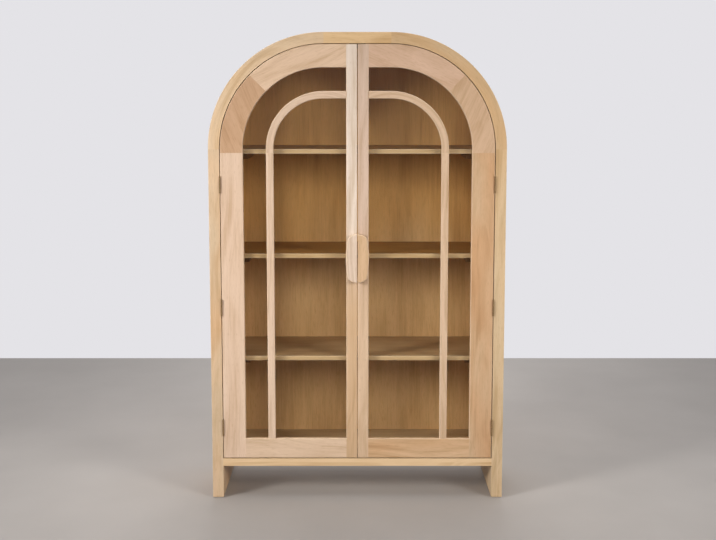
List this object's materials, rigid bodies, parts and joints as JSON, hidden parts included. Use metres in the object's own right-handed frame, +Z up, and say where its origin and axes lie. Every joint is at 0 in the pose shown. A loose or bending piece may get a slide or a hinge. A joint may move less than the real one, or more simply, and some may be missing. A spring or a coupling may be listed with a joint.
{
  "type": "arched display cabinet",
  "caption": "Free-standing arched wooden display cabinet with a pair of glazed doors, concentric arched glazing bars, a split oval pull and shelves inside.",
  "frame": {"origin": "on the floor, under the middle of the closed cabinet's bounding box", "axes": "+Z up, -Y out of the doors towards the person in front, +X to the right as seen from the front"},
  "size_m": [1.13, 0.424, 1.8],
  "materials": {
    "case_wood": "clear matt lacquer on pale open-grained hardwood",
    "door_wood": "clear matt lacquer on pale open-grained hardwood",
    "shelf_wood": "clear matt lacquer",
    "back_veneer": "clear matt lacquer on veneered plywood",
    "tenon_wood": "unfinished planed hardwood",
    "glass": "clear float glass",
    "hinge_brass": "antique brass plated steel",
    "screw_steel": "zinc plated steel",
    "catch_plastic": "moulded brown plastic",
    "magnet": "ferrite magnet",
    "glide_nylon": "moulded nylon"
  },
  "bodies": {
    "case": {"arch_corner_left": "case_wood", "arch_corner_right": "case_wood", "back_panel": "back_veneer", "back_screws": "screw_steel", "bottom_board": "case_wood", "case_tenons": "tenon_wood", "catch_body": "catch_plastic", "catch_magnets": "magnet", "catch_screws": "screw_steel", "floor_glides": "glide_nylon", "left_hinge_case_leaves": "hinge_brass", "left_hinge_case_screws": "hinge_brass", "left_hinge_pins": "hinge_brass", "right_hinge_case_leaves": "hinge_brass", "right_hinge_case_screws": "hinge_brass", "right_hinge_pins": "hinge_brass", "shelf_battens": "shelf_wood", "shelf_lower": "shelf_wood", "shelf_middle": "shelf_wood", "shelf_pins": "screw_steel", "shelf_upper": "shelf_wood", "side_panel_left": "case_wood", "side_panel_right": "case_wood", "top_panel": "case_wood"},
    "left_door": {"left_door_arch_lower": "door_wood", "left_door_arch_upper": "door_wood", "left_door_bar_arch": "door_wood", "left_door_bar_upright": "door_wood", "left_door_bottom_rail": "door_wood", "left_door_glass": "glass", "left_door_glazing_beads": "door_wood", "left_door_meeting_stile": "door_wood", "left_door_outer_stile": "door_wood", "left_door_pull": "door_wood", "left_door_pull_screws": "screw_steel", "left_door_strike": "screw_steel", "left_door_strike_screw": "screw_steel", "left_door_tenons": "tenon_wood", "left_hinge_door_leaves": "hinge_brass", "left_hinge_door_screws": "hinge_brass"},
    "right_door": {"right_door_arch_lower": "door_wood", "right_door_arch_upper": "door_wood", "right_door_bar_arch": "door_wood", "right_door_bar_upright": "door_wood", "right_door_bottom_rail": "door_wood", "right_door_glass": "glass", "right_door_glazing_beads": "door_wood", "right_door_meeting_stile": "door_wood", "right_door_outer_stile": "door_wood", "right_door_pull": "door_wood", "right_door_pull_screws": "screw_steel", "right_door_strike": "screw_steel", "right_door_strike_screw": "screw_steel", "right_door_tenons": "tenon_wood", "right_hinge_door_leaves": "hinge_brass", "right_hinge_door_screws": "hinge_brass"}
  },
  "joints": [
    {"name": "left_door_swing", "type": "hinge", "parent": "case", "child": "left_door", "pos_m": [-0.5215, -0.191, 0.754], "axis": [0, 0, 1], "range_deg": [-165, 0]},
    {"name": "right_door_swing", "type": "hinge", "parent": "case", "child": "right_door", "pos_m": [0.5215, -0.191, 0.754], "axis": [0, 0, 1], "range_deg": [0, 165]}
  ]
}
